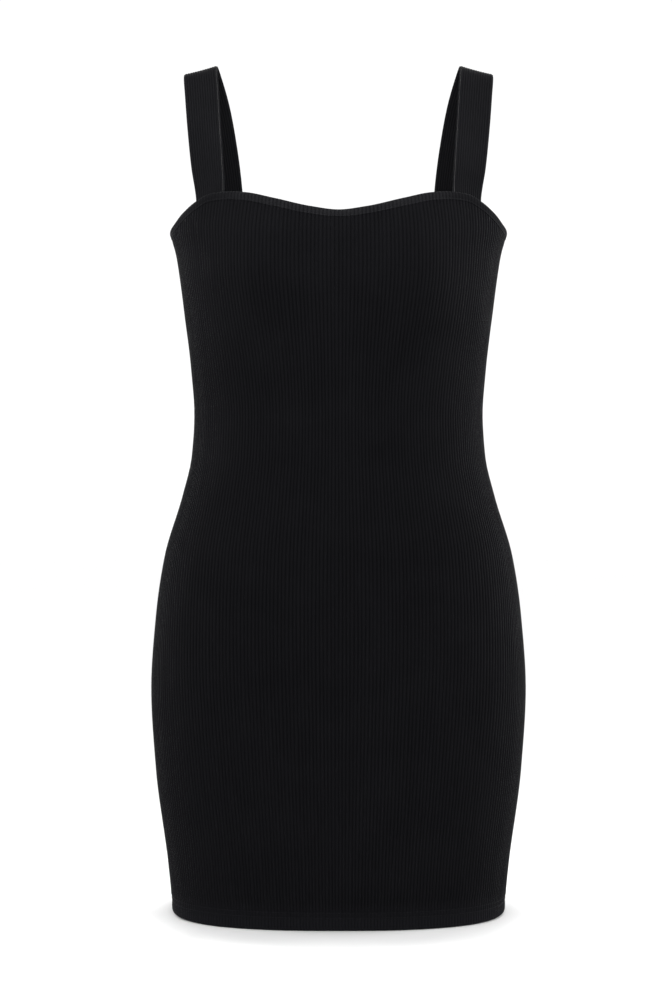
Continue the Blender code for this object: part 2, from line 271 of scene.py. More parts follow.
def half_girth(side, height):
    """The length of the cloth from the centre line to the side seam."""
    row = np.clip(height - NET_LOW, 0, len(NETS[side][2]) - 1)
    return np.interp(row, np.arange(len(NETS[side][2])), NETS[side][2])


def on_figure(side, share, height, out):
    """Points on the figure's outline, moved out along its normals, or in for less than 0."""
    share, height, out = np.broadcast_arrays(*(np.atleast_1d(x).astype(float) for x in (share, height, out)))
    points, facing, _ = NETS[side]
    normal = from_net(facing, share, height)
    normal /= np.linalg.norm(normal, axis=1, keepdims=True)
    return from_net(points, share, height) + normal * out[:, None] + np.array([0, side * SEAM_GAP / 2, 0])


def edge_height(side, share):
    """The height of a panel's finished top edge."""
    half = FRONT_EDGE if side == FRONT else BACK_EDGE
    mirrored = [Edge(-row.share, row.height) for row in reversed(half[1:])]
    return smooth_values((*mirrored, *half), "height", share)


def binding_foot(side, share):
    """The height of the binding's lower edge, so that it is equally wide where the top edge slants."""
    step = 0.004  # to either side, for the edge's slant
    near, far = np.maximum(0, np.abs(share) - step), np.minimum(1, np.abs(share) + step)
    edge = edge_height(side, share)
    slant = (edge_height(side, far) - edge_height(side, near)) / ((far - near) * half_girth(side, edge))
    return edge - smooth_values(BINDING_WIDTHS, "width", np.abs(share)) * np.hypot(1, slant)


def rib_dip(rib):
    """How far the cloth lies below the crests, at a number of ribs from the centre line: 0 to 1."""
    return 1 - np.abs(np.sin(math.pi * rib)) ** RIB_ROUNDNESS


def waver(rib, height):
    """How far a knitted rib strays to one side or the other, from -1 to 1."""
    rib = np.round(rib)
    slow_wave = np.sin(height / 41 + rib * 1.9)  # each rib a little on from the last
    quick_wave = np.sin(height / 17.3 - rib * 0.83)
    return 0.6 * slow_wave + 0.4 * quick_wave


def crease_depth(side, creases, share, height):
    """How far the creases move the cloth out, or in."""
    moved = np.zeros_like(height)
    for crease in creases:
        turn = math.radians(crease.turn if crease.share >= 0 else 180 - crease.turn)
        right = (share - crease.share) * half_girth(side, height)
        up = height - crease.height
        along = (right * math.cos(turn) + up * math.sin(turn)) / crease.long
        over = (up * math.cos(turn) - right * math.sin(turn)) / crease.wide
        moved += crease.out * np.exp(-(along**2) - over**2)
    return moved


def seam_lift(from_seam, height):
    """How far up the cloth is drawn near the lower end of a side seam."""
    return SEAM_LIFT * np.exp(-((from_seam / SEAM_LIFT_REACH) ** 2) - ((height - HEM) / SEAM_LIFT_FADE) ** 2)


MERGED = 0.01  # points nearer than this become one, and
SLIVER = 0.005  # faces narrower than this go
SHARP = 60  # degrees between two faces, from which the edge between them is drawn sharp


def cloth_grids(columns, back_columns, rows):
    """A wall of cloth as two flat grids, its face and its back, joined along their four sides."""
    bm = bmesh.new()
    layers = [bm.verts.layers.float.new(name) for name in ("across", "up", "is_back")]
    for is_back, count in enumerate((columns, back_columns)):
        made = bmesh.ops.create_grid(bm, x_segments=count, y_segments=rows, size=0.5)["verts"]
        for vertex in made:
            place = (vertex.co.x + 0.5, round((vertex.co.y + 0.5) * rows), is_back)
            for layer, value in zip(layers, place):
                vertex[layer] = value
        bmesh.ops.translate(bm, verts=made, vec=(0, 0, -0.01 * is_back))  # one behind the other
    for layer, ends in ((layers[0], (0, 1)), (layers[1], (0, rows))):
        for end in ends:
            rims = [
                edge
                for edge in bm.edges
                if edge.is_boundary
                and all(abs(vertex[layer] - end) < 1e-4 for vertex in edge.verts)
                and edge.verts[0][layers[2]] == edge.verts[1][layers[2]]
            ]
            bmesh.ops.bridge_loops(bm, edges=rims)
    return bm


def add_piece(name, bm, materials):
    """An object of a finished bmesh, in its materials."""
    mesh = bpy.data.meshes.new(name)
    bm.to_mesh(mesh)
    bm.free()
    for material in materials:
        mesh.materials.append(material)
    piece = bpy.data.objects.new(name, mesh)
    bpy.context.scene.collection.objects.link(piece)
    return piece


def lay_cloth(name, bm, lay, materials):
    """Lays the grids where lay puts each point, merges what runs off at a seam, and makes the piece."""
    across, up, is_back = (bm.verts.layers.float[key] for key in ("across", "up", "is_back"))
    bm.verts.ensure_lookup_table()
    places = np.array([(v[across], v[up], v[is_back]) for v in bm.verts])
    points, pattern = lay(places[:, 0], places[:, 1].round().astype(int), places[:, 2] > 0.5)
    for vertex, point in zip(bm.verts, (points * MM).tolist()):
        vertex.co = point
    bm.verts.index_update()
    cloth_map = bm.loops.layers.uv.new("Cloth")
    pattern = pattern.tolist()
    for face in bm.faces:
        face.material_index = int(all(vertex[is_back] for vertex in face.verts))
        for loop in face.loops:
            loop[cloth_map].uv = pattern[loop.vert.index]
    bmesh.ops.remove_doubles(bm, verts=bm.verts, dist=MERGED * MM)
    bmesh.ops.dissolve_degenerate(bm, edges=bm.edges, dist=SLIVER * MM)
    bmesh.ops.recalc_face_normals(bm, faces=bm.faces)
    piece = add_piece(name, bm, materials)
    for key in ("across", "up", "is_back"):
        piece.data.attributes.remove(piece.data.attributes[key])
    piece.data.shade_smooth()
    piece.data.set_sharp_from_angle(angle=math.radians(SHARP))
    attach(piece, "root")
    return piece


def level_height(level):
    """The height of one of the level rows, counted up from the hem's last."""
    hem_top = HEM + HEM_ROWS[-1].face_height
    return hem_top + (FREE_HEIGHT - hem_top) * level / LEVEL_ROWS


def panel_rows(side, share, row, is_back):
    """The height of each row of a panel's mesh, how far it stands out, and how far its ribs do."""
    level = row - LAST_HEM_ROW
    hem = np.array(HEM_ROWS)[np.minimum(row, LAST_HEM_ROW)]
    face_height, face_out, ribs, back_height, back_out = hem.T
    height = HEM + np.where(is_back, back_height, face_height)
    out = np.where(is_back, back_out, face_out)
    height = np.where(level > 0, level_height(level), height)
    top = binding_foot(side, share) + RIM_TUCK
    bent = FREE_HEIGHT + (top - FREE_HEIGHT) * (level - LEVEL_ROWS) / BENT_ROWS
    height = np.where(level > LEVEL_ROWS, bent, height)
    out = np.where(level > 0, np.where(is_back, -(RIB_HEIGHT + CLOTH), 0.0), out)
    return height, out, np.where(level > 0, 1.0, ribs)


def nominal_height(row):
    """A height for each row, level from side to side, which settles how many ribs it crosses."""
    level = row - LAST_HEM_ROW
    return np.where(level > 0, level_height(level), HEM)


def make_panel(name, side, creases, materials):
    """The front or the back of the dress."""

    def lay(across, row, is_back):
        ribs = smooth_values(RIB_COUNTS, "ribs", nominal_height(row)) / 2
        rib = np.clip((across - 0.5) * RIBS_AT_HEM, -ribs, ribs)
        share = rib / ribs
        height, out, standing = panel_rows(side, share, row, is_back)
        strays = waver(rib, height)
        dip = RIB_HEIGHT * standing * rib_dip(rib) * (1 + UNEVEN * strays)
        from_seam = (1 - np.abs(share)) * half_girth(side, height)
        height = height + seam_lift(from_seam, height)
        pull = np.exp(-((from_seam / SEAM_PULL) ** 2))
        face = dip + (SEAM_DIP - dip) * pull
        free = (1 - pull) * (1 - np.abs(share) ** 8)  # of the side seam
        share = share + WAVER * strays * free / half_girth(side, height)
        out = out - np.where(is_back, 0.0, face) + crease_depth(side, creases, share, height)
        return on_figure(side, share, height, out), np.column_stack([rib, height])

    rows = LAST_HEM_ROW + LEVEL_ROWS + BENT_ROWS
    bm = cloth_grids(RIBS_AT_HEM * RIB_COLUMNS, RIBS_AT_HEM, rows)
    return lay_cloth(name, bm, lay, materials)


def srgb(code):
    """An sRGB hex colour as linear red, green, blue and alpha."""
    values = [int(code[i : i + 2], 16) / 255 for i in (1, 3, 5)]
    return (*(v / 12.92 if v <= 0.04045 else ((v + 0.055) / 1.055) ** 2.4 for v in values), 1.0)


def new_material(name):
    """A material, and the shader that it starts with."""
    material = bpy.data.materials.new(name)
    material.use_nodes = True
    return material, material.node_tree.nodes["Principled BSDF"]


def add_node(material, kind, inputs=None, **settings):
    """Adds a node with its settings. An input takes a value, an output, or a node for its first output."""
    node = material.node_tree.nodes.new(kind)
    for setting, value in settings.items():
        setattr(node, setting, value)
    for name, value in (inputs or {}).items():
        if isinstance(value, bpy.types.Node):
            value = value.outputs[0]
        if isinstance(value, bpy.types.NodeSocket):
            material.node_tree.links.new(value, node.inputs[name])
        else:
            node.inputs[name].default_value = value
    return node


COURSE = 1.5  # height of a row of stitches: about 0.9 in the cloth, drawn coarser so that it shows
WALES = 2  # columns of stitches in a rib
LOOP_SLANT = 0.55  # how far a stitch's legs rise, in courses
FIBRE = 0.45  # size of the fuzz on the yarn
PATCH = 40.0  # size of the faint clouds that washing leaves in the dye
# The rib's and the stitch's shares are painted shade: the colour darkens where the cloth dips between crests
# and between legs.
RIB_PAINTED_SHADE = 0.55  # how much a rib's crest adds to the cloth's lightness,
STITCH_PAINTED_SHADE = 0.07  # a stitch's leg,
FIBRE_LIGHT = 0.5  # the fuzz, and
PATCH_LIGHT = 0.5  # the clouds
DARKEST = 0.25  # the sum of those that shows as the valleys' colour, and
LIGHTEST = 1.15  # as the crests'
STITCH_RELIEF = 0.18  # how high a stitch's leg is drawn, against the fuzz, and
RIB_RELIEF = 1.6  # a rib
# The band above the hem's fold is painted lighter: painted light.
BAND_FADE = 26.0  # how high above the hem's fold the cloth is lighter, and
BAND_PAINTED_LIGHT = 0.3  # by how much of the way to a lighter black, at the fold


def rib_cloth(name, painted_shade_valley, crest, ribs_in_bump):
    """Matt black cotton rib with a short nap. Its valleys are painted darker than its crests, as painted
    shade, the stitches are a fine herringbone along each rib, and the fuzz on the yarn lights up where the
    cloth turns away."""
    material, shader = new_material(name)
    cloth = add_node(material, "ShaderNodeUVMap", uv_map="Cloth")
    place = add_node(material, "ShaderNodeSeparateXYZ", {0: cloth})
    rib, height = place.outputs["X"], place.outputs["Y"]
    turn = add_node(material, "ShaderNodeMath", {0: rib, 1: math.pi}, operation="MULTIPLY")
    wave = add_node(material, "ShaderNodeMath", {0: turn}, operation="SINE")
    bulge = add_node(material, "ShaderNodeMath", {0: wave}, operation="ABSOLUTE")
    wale = add_node(material, "ShaderNodeMath", {0: rib, 1: WALES}, operation="MULTIPLY")
    across_wale = add_node(material, "ShaderNodeMath", {0: wale}, operation="FRACT")
    centred = add_node(material, "ShaderNodeMath", {0: across_wale, 1: 0.5}, operation="SUBTRACT")
    leg = add_node(material, "ShaderNodeMath", {0: centred}, operation="ABSOLUTE")
    course = add_node(material, "ShaderNodeMath", {0: height, 1: COURSE}, operation="DIVIDE")
    inputs = {0: leg, 1: -2 * LOOP_SLANT, 2: course}
    slant = add_node(material, "ShaderNodeMath", inputs, operation="MULTIPLY_ADD")
    loops_turn = add_node(material, "ShaderNodeMath", {0: slant, 1: 2 * math.pi}, operation="MULTIPLY")
    loops = add_node(material, "ShaderNodeMath", {0: loops_turn}, operation="SINE")
    inside = add_node(material, "ShaderNodeTexCoord")
    inputs = {"Vector": inside.outputs["Object"], "Scale": 1 / (FIBRE * MM), "Detail": 2.0}
    fibre = add_node(material, "ShaderNodeTexNoise", inputs)
    inputs = {"Vector": inside.outputs["Object"], "Scale": 1 / (PATCH * MM), "Detail": 3.0}
    patch = add_node(material, "ShaderNodeTexNoise", inputs)
    # How light the cloth is painted: mostly by the rib and then by the stitch, both painted shade where the
    # cloth dips, then by the fuzz and the clouds.
    light = add_node(material, "ShaderNodeMath", {0: bulge, 1: RIB_PAINTED_SHADE}, operation="MULTIPLY")
    for source, share in ((loops, STITCH_PAINTED_SHADE), (fibre, FIBRE_LIGHT), (patch, PATCH_LIGHT)):
        inputs = {0: source, 1: share, 2: light}
        light = add_node(material, "ShaderNodeMath", inputs, operation="MULTIPLY_ADD")
    inputs = {"Value": light, "From Min": DARKEST, "From Max": LIGHTEST}
    lightness = add_node(material, "ShaderNodeMapRange", inputs, clamp=True)
    inputs = {"Factor": lightness, "A": srgb(painted_shade_valley), "B": srgb(crest)}
    colour = add_node(material, "ShaderNodeMix", inputs, data_type="RGBA")
    # The doubled band at the hem is less stretched than the cloth above it, and is painted lighter towards
    # its fold: painted light, for the light it catches there.
    top = HEM + BAND_FADE
    inputs = {"Value": height, "From Min": HEM, "From Max": top, "To Min": BAND_PAINTED_LIGHT, "To Max": 0.0}
    band_painted_light_mask = add_node(material, "ShaderNodeMapRange", inputs, clamp=True)
    inputs = {"Factor": band_painted_light_mask, "A": colour.outputs["Result"], "B": srgb("#26262a")}
    band_painted_light = add_node(material, "ShaderNodeMix", inputs, data_type="RGBA")
    material.node_tree.links.new(band_painted_light.outputs["Result"], shader.inputs["Base Color"])
    inputs = {"Value": fibre, "To Min": 0.82, "To Max": 0.98}
    rough = add_node(material, "ShaderNodeMapRange", inputs, clamp=True)
    material.node_tree.links.new(rough.outputs[0], shader.inputs["Roughness"])
    # Relief: the stitches' legs and the fuzz and, where the mesh is plain, the ribs themselves.
    inputs = {0: loops, 1: STITCH_RELIEF, 2: fibre}
    raised = add_node(material, "ShaderNodeMath", inputs, operation="MULTIPLY_ADD")
    if ribs_in_bump:
        inputs = {0: bulge, 1: RIB_RELIEF, 2: raised}
        raised = add_node(material, "ShaderNodeMath", inputs, operation="MULTIPLY_ADD")
    inputs = {"Height": raised, "Strength": 0.45, "Distance": 0.25 * MM}
    bump = add_node(material, "ShaderNodeBump", inputs)
    material.node_tree.links.new(bump.outputs["Normal"], shader.inputs["Normal"])
    shader.inputs["Specular IOR Level"].default_value = 0.02
    shader.inputs["Sheen Weight"].default_value = 0.24
    shader.inputs["Sheen Roughness"].default_value = 0.2
    return material


rib_knit = rib_cloth("Black_cotton_rib_knit", "#08080a", "#131315", ribs_in_bump=False)
rib_knit_inside = rib_cloth("Black_cotton_rib_knit_inside", "#0a0a0b", "#131315", ribs_in_bump=True)

front_panel = make_panel("front_panel_cloth", FRONT, FRONT_CREASES, [rib_knit, rib_knit_inside])
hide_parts("front_panel")

# ------------------------------------------------------------------------------------------------------------
# The back panel. The same cloth and the same hem, with the seat's fullness stretched into it. Its faint folds
# lie where a bodycon dress has them: across the small of the back, and under the seat.

BACK_CREASES = (
    Crease(0.04, -318, 74, 9, -1.0, 3),  # across the small of the back
    Crease(-0.14, -340, 62, 8, -1.2, -2),
    Crease(0.20, -362, 52, 8, -0.9, -5),
    Crease(-0.30, -381, 44, 9, -0.6, 6),
    Crease(0.00, -329, 60, 6, 0.6, 0),
    Crease(0.70, -340, 34, 8, -0.8, 14),
    Crease(-0.72, -352, 30, 7, -0.7, 10),
    Crease(0.34, -700, 58, 15, -1.1, 10),  # under the seat
    Crease(-0.38, -706, 52, 14, -1.0, 13),
    Crease(0.00, -640, 80, 26, -1.3, 90),
    Crease(0.52, -252, 48, 12, -0.6, -46),
    Crease(-0.56, -262, 42, 11, -0.6, -40),
)
back_panel = make_panel("back_panel_cloth", BACK, BACK_CREASES, [rib_knit, rib_knit_inside])
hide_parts("back_panel")

# ------------------------------------------------------------------------------------------------------------
# The side seams. Front and back are overlocked together and trimmed, and the two edges lie double against
# the inside of the back, from inside the turned-up hem to inside the binding. The thread that wraps their
# free edge is black spun polyester, as all the sewing is.

ALLOWANCE_WIDTH = 7.0
ALLOWANCE_RIBS = 2.0  # across it
ALLOWANCE_START = 0.3  # how far from the seam it starts
ALLOWANCE_THICKNESS = 1.7  # two layers, flattened by the thread
ALLOWANCE_ROUNDING = 0.45  # by what part it is thinner at its edges
ALLOWANCE_SQUEEZED = 0.8  # where it goes in under the hem and the binding, and
ALLOWANCE_TAPER = 5.0  # how soon it is its full thickness
ALLOWANCE_SUNK_IN_HEM = 0.26  # how far it gives way to the turned-up layer, and
ALLOWANCE_SUNK_IN_BINDING = 0.9  # to the binding
ALLOWANCE_OFF = 0.06  # how far it lies off the cloth
ALLOWANCE_LIFT = 0.22  # how far its free edge lifts here and there
ALLOWANCE_END = 1.6  # how far below the top edge it ends, inside the binding
ALLOWANCE_FOOT = HEM + 2.6  # in the fold of the hem
ALLOWANCE_MOUTH = HEM + 18.8  # where it comes out above the turned-up layer
ALLOWANCE_ROWS = 160
ALLOWANCE_HIDDEN_ROWS = 4  # of these, inside the hem, and as many inside the binding
ALLOWANCE_COLUMNS = 8
SEAM_CROSSING = 0.9  # how far its sewn side reaches over to the front
THREAD = 0.21  # half its thickness
STITCH = 2.9
STITCH_FILL = 0.96  # of the way from one needle hole to the next
WRAP_STEP = 2.2  # from one turn of the overlock's thread to the next
WRAP_REACH = 3.4  # and how far it reaches in from the edge
WRAP_EDGE = 1.02  # where it turns, just off the edge
THREAD_OFF = 0.1  # how far the middle of the thread lies off the cloth
OVERLOCK_SHORT = 1.0  # how far short of the hem and of the binding it stops
TWIST = 0.6  # from one turn of the yarn in the thread to the next


def allowance_top():
    """The height, just below the binding's foot, at which an allowance goes in under it."""
    return float(binding_foot(BACK, 1.0)) - 0.2


def allowance_place(across, height):
    """A place on the allowance: its share, how far out its face lies, and how far out its back does."""
    top = allowance_top()
    from_end = np.maximum(np.minimum(height - ALLOWANCE_MOUTH, top - height), 0) / ALLOWANCE_TAPER
    full = 1 - np.exp(-(from_end**2))
    sunk = np.where(height > top + 0.01, ALLOWANCE_SUNK_IN_BINDING, 0.0)
    sunk = np.where(height < ALLOWANCE_MOUTH, ALLOWANCE_SUNK_IN_HEM, sunk)
    thickness = ALLOWANCE_SQUEEZED + (ALLOWANCE_THICKNESS - ALLOWANCE_SQUEEZED) * full
    width = ALLOWANCE_WIDTH + 0.35 * np.sin(height / 23) + 0.2 * np.sin(height / 9.1)  # cut by hand
    share = 1 - (ALLOWANCE_START + across * width) / half_girth(BACK, height)
    creased = crease_depth(BACK, BACK_CREASES, share, height)
    under = -(RIB_HEIGHT + CLOTH) - ALLOWANCE_OFF + sunk + creased
    rounded = 1 - ALLOWANCE_ROUNDING * np.abs(2 * across - 1) ** 6
    lifted = ALLOWANCE_LIFT * across**2 * np.sin(height / 12.5) * full
    return share, under - thickness * rounded - THREAD_OFF + lifted, under


def make_allowance(name, hand):
    """The doubled edges inside one side seam."""

    def lay(across, row, is_back):
        end = float(edge_height(BACK, 1.0)) - ALLOWANCE_END
        turning_rows = (0, ALLOWANCE_HIDDEN_ROWS, ALLOWANCE_ROWS - ALLOWANCE_HIDDEN_ROWS, ALLOWANCE_ROWS)
        height = np.interp(row, turning_rows, (ALLOWANCE_FOOT, ALLOWANCE_MOUTH, allowance_top(), end))
        share, face, under = allowance_place(across, height)
        points = on_figure(BACK, share * hand, height, np.where(is_back, under, face))
        points[:, 1] -= SEAM_CROSSING * (1 - across) ** 3
        return points, np.column_stack([across * ALLOWANCE_RIBS, height])

    bm = cloth_grids(ALLOWANCE_COLUMNS, ALLOWANCE_COLUMNS, ALLOWANCE_ROWS)
    piece = lay_cloth(name, bm, lay, [rib_knit_inside, rib_knit_inside])
    return piece


def sew(name, stitches):
    """One piece of many stitches, each a short round thread between the two ends given for it."""
    bm = bmesh.new()
    for start, end in stitches:
        way = Vector(end - start)
        turn = way.to_track_quat("Z", "Y").to_matrix().to_4x4()
        size = Matrix.Diagonal((THREAD, THREAD, way.length * STITCH_FILL / 2, 1))
        laid = one_stitch.copy()
        laid.transform(Matrix.Translation(Vector((start + end) / 2)) @ turn @ size)
        bm.from_mesh(laid)
        bpy.data.meshes.remove(laid)
    bmesh.ops.scale(bm, vec=(MM, MM, MM), verts=bm.verts)
    piece = add_piece(name, bm, [thread])
    piece.data.shade_smooth()
    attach(piece, "root")


def spun_thread():
    """Black spun polyester: a little smoother than the cotton, so that a stitch catches light as a dash."""
    material, shader = new_material("Black_spun_polyester_thread")
    place = add_node(material, "ShaderNodeTexCoord")
    inputs = {"Vector": place.outputs["Object"], "Scale": 1 / (TWIST * MM), "Detail": 2.0}
    twist = add_node(material, "ShaderNodeTexNoise", inputs)
    inputs = {"Factor": twist, "A": srgb("#0f0f11"), "B": srgb("#1b1b1e")}
    colour = add_node(material, "ShaderNodeMix", inputs, data_type="RGBA")
    material.node_tree.links.new(colour.outputs["Result"], shader.inputs["Base Color"])
    bump = add_node(material, "ShaderNodeBump", {"Height": twist, "Distance": 0.1 * MM})
    material.node_tree.links.new(bump.outputs["Normal"], shader.inputs["Normal"])
    shader.inputs["Roughness"].default_value = 0.7
    shader.inputs["Specular IOR Level"].default_value = 0.04
    shader.inputs["Sheen Weight"].default_value = 0.04
    return material


def overlock(hand):
    """The stitches along one allowance: a straight row near the seam, and wraps round the free edge."""
    low = ALLOWANCE_MOUTH + OVERLOCK_SHORT
    high = float(binding_foot(BACK, 1.0)) - OVERLOCK_SHORT
    rows = np.arange(low, high, STITCH)
    wraps = np.arange(low, high, WRAP_STEP)
    turns = wraps[:-1] + WRAP_STEP / 2
    inner = 1 - WRAP_REACH / ALLOWANCE_WIDTH
    runs = (
        (rows[:-1], inner, rows[1:], inner),
        (wraps[:-1], inner, turns, WRAP_EDGE),
        (turns, WRAP_EDGE, wraps[1:], inner),
    )
    for heights, across, to_heights, to_across in runs:
        ends = []
        for height, place in ((heights, across), (to_heights, to_across)):
            share, face, _ = allowance_place(np.full_like(height, place), height)
            ends.append(on_figure(BACK, share * hand, height, face - THREAD_OFF))
        yield from zip(*ends)


thread = spun_thread()
one_stitch = bpy.data.meshes.new("stitch")
round_form = bmesh.new()
bmesh.ops.create_uvsphere(round_form, u_segments=6, v_segments=4, radius=1)
round_form.to_mesh(one_stitch)
round_form.free()
allowances = [make_allowance("left_side_seam", 1), make_allowance("right_side_seam", -1)]
sew("left_side_seam_thread", overlock(1))
sew("right_side_seam_thread", overlock(-1))

# ------------------------------------------------------------------------------------------------------------
# The hem's stitching. A twin-needle cover stitch holds the turned-up layer: outside it shows as two rows of
# short straight stitches that sink into the ribs, and inside its looper thread zigzags between them.

NEEDLE_ROWS = (12.0, 16.6)  # up from the fold
NEEDLE_OUT = -0.3  # from the ribs' crests
LOOPER_ROWS = (11.4, 17.2)
LOOPER_OUT = -2.72


def cover_stitch(side, creases):
    """The stitches of the hem, on the front or on the back."""
    length = 2 * half_girth(side, HEM)
    shares = np.linspace(-1, 1, round(length / STITCH) + 1)

    def placed(at, up, out):
        height = np.full_like(at, HEM + up)
        height = height + seam_lift((1 - np.abs(at)) * length / 2, height)
        return on_figure(side, at, height, out + crease_depth(side, creases, at, height))

    for up in NEEDLE_ROWS:
        row = placed(shares, up, NEEDLE_OUT)
        yield from zip(row[:-1], row[1:])
    between = (shares[:-1] + shares[1:]) / 2
    low = placed(shares, LOOPER_ROWS[0], LOOPER_OUT)
    high = placed(between, LOOPER_ROWS[1], LOOPER_OUT)
    yield from zip(low[:-1], high)
    yield from zip(high, low[1:])


sew("front_hem_stitches", cover_stitch(FRONT, FRONT_CREASES))
sew("back_hem_stitches", cover_stitch(BACK, BACK_CREASES))

# ------------------------------------------------------------------------------------------------------------
# The bindings on the top edges of the front and the back. Each is a strip of the same rib folded over the raw
# edge, with its ribs square to the edge, and stitched down through all layers just above its foot. It stands
# a little proud and its top is a soft round fold.

# Rows round the fold: up from the foot, in a binding 7 mm wide, and out from the ribs' crests.
FoldRow = namedtuple("FoldRow", "up out ribs")
FOLD_TOP = 7.0
FOLD_ROWS = (
    FoldRow(0.00, -0.05, 0.3),
    FoldRow(0.15, 0.42, 0.7),
    FoldRow(0.80, 0.48, 0.8),
    FoldRow(1.35, 0.12, 0.4),  # the stitching
    FoldRow(1.90, 0.46, 0.8),
    FoldRow(2.80, 0.78, 1.0),
    FoldRow(3.90, 0.92, 1.0),
    FoldRow(4.90, 0.84, 1.0),
    FoldRow(5.80, 0.48, 1.0),
    FoldRow(6.50, -0.10, 0.8),
    FoldRow(6.90, -0.70, 0.6),
    FoldRow(7.00, -1.10, 0.5),  # the top
    FoldRow(6.80, -1.60, 0.5),
    FoldRow(6.20, -2.00, 0.5),
    FoldRow(5.00, -2.25, 0.6),
    FoldRow(3.40, -2.32, 0.6),
    FoldRow(2.10, -2.25, 0.6),
    FoldRow(1.35, -1.98, 0.3),  # the stitching, inside
    FoldRow(0.70, -2.22, 0.5),
    FoldRow(0.00, -1.95, 0.3),
)
FOLD_MIDDLE = -0.95
CORE_TOP = 6.3  # the fold's own inside, which never shows, is lower
CORE_SIZE = 0.4  # and nearer to its middle
BINDING_RIB_HEIGHT = 0.5
BINDING_SEAM_DIP = 0.5  # how deep the side seam pulls it in


def binding_height(side, share, up):
    """The height of a place on a binding, up from its foot."""
    foot = binding_foot(side, share)
    return foot + (edge_height(side, share) - foot) * up / FOLD_TOP


def make_binding(name, side, materials):
    """The binding on the top edge of the front or of the back."""
    fold = np.array(FOLD_ROWS)

    def lay(across, row, is_back):
        share = across * 2 - 1
        rib = share * RIBS_AT_EDGE / 2
        up, out, standing = fold[row].T
        up = np.where(is_back, np.minimum(up, CORE_TOP), up)
        out = np.where(is_back, FOLD_MIDDLE + (out - FOLD_MIDDLE) * CORE_SIZE, out)
        from_seam = (1 - np.abs(share)) * half_girth(side, edge_height(side, share))
        pull = np.exp(-((from_seam / SEAM_PULL) ** 2))
        dip = BINDING_RIB_HEIGHT * standing * rib_dip(rib)
        dip = dip + (BINDING_SEAM_DIP - dip) * pull
        outwards = np.where(out > FOLD_MIDDLE, 1, -1)
        out = out - np.where(is_back, 0.0, dip) * outwards
        points = on_figure(side, share, binding_height(side, share, up), out)
        return points, np.column_stack([rib, up])

    bm = cloth_grids(RIBS_AT_EDGE * RIB_COLUMNS, RIBS_AT_EDGE, len(FOLD_ROWS) - 1)
    piece = lay_cloth(name, bm, lay, materials)
    return piece


# The binding's painted light is toned down to either side of each strap.
STRAP_RIB = 36  # the middle of a strap, in ribs from the centre line, and
BESIDE_STRAP_RIBS = 12  # to how many ribs on either side the binding is darkened
BESIDE_STRAP_DARKENING = 0.6  # by how much of the way to a darker black, at the middle


def darken_binding_beside_straps(material):
    """Darkens the binding, with its painted light, over some ribs to either side of each strap's middle, most
    at the middle.
    """
    shader = material.node_tree.nodes["Principled BSDF"]
    binding_colour = shader.inputs["Base Color"].links[0].from_socket
    cloth = add_node(material, "ShaderNodeUVMap", uv_map="Cloth")
    place = add_node(material, "ShaderNodeSeparateXYZ", {0: cloth})
    rib = add_node(material, "ShaderNodeMath", {0: place.outputs["X"]}, operation="ABSOLUTE")
    beside = add_node(material, "ShaderNodeMath", {0: rib, 1: STRAP_RIB}, operation="SUBTRACT")
    away = add_node(material, "ShaderNodeMath", {0: beside}, operation="ABSOLUTE")
    inputs = {"Value": away, "From Max": BESIDE_STRAP_RIBS, "To Min": BESIDE_STRAP_DARKENING, "To Max": 0.0}
    pull = add_node(material, "ShaderNodeMapRange", inputs, interpolation_type="SMOOTHSTEP")
    inputs = {"Factor": pull, "A": binding_colour, "B": srgb("#0b0b0d")}
    colour = add_node(material, "ShaderNodeMix", inputs, data_type="RGBA")
    material.node_tree.links.new(colour.outputs["Result"], shader.inputs["Base Color"])


# The binding is drawn in lighter colours than the panels' cloth, though it is the same rib: painted light,
# for the light its proud, round top catches.
binding_knit_painted_light = rib_cloth("Black_cotton_rib_binding_painted_light", "#0a0a0c", "#202022", ribs_in_bump=False)
darken_binding_beside_straps(binding_knit_painted_light)
front_binding = make_binding("front_binding_cloth", FRONT, [binding_knit_painted_light, rib_knit_inside])
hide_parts("front_binding")
back_binding = make_binding("back_binding_cloth", BACK, [binding_knit_painted_light, rib_knit_inside])
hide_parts("back_binding")

BINDING_STITCH_UP = 1.35
BINDING_STITCH_OUT = (0.16, -2.05)  # outside and inside
UNDERARM = -158.0  # the height at which their number is settled


def binding_stitches(side):
    """One row of stitches through the binding, seen outside and inside."""
    length = 2 * half_girth(side, UNDERARM)
    shares = np.linspace(-1, 1, round(length / STITCH) + 1)
    height = binding_height(side, shares, BINDING_STITCH_UP)
    for out in BINDING_STITCH_OUT:
        row = on_figure(side, shares, height, out)
        yield from zip(row[:-1], row[1:])


sew("front_binding_stitches", binding_stitches(FRONT))
sew("back_binding_stitches", binding_stitches(BACK))

# ------------------------------------------------------------------------------------------------------------
# The straps. Each is a strip of the rib sewn into a tube and pressed flat, 33 mm wide, with thirteen ribs
# along either face and soft round folds at its edges. Its ends are sewn inside the bindings.

STRAP_WIDTH = 33.2
STRAP_THICKNESS = 1.7  # without its ribs
STRAP_RIBS = 13
STRAP_RIB_HEIGHT = 0.5
STRAP_TUCK = 12.0  # how far its ends reach down inside the panels
STRAP_INSET = 4.4  # how far in from the ribs' crests its middle lies there
STRAP_SHARES = {FRONT: 0.612, BACK: 0.541}  # where its middle goes in behind each top edge
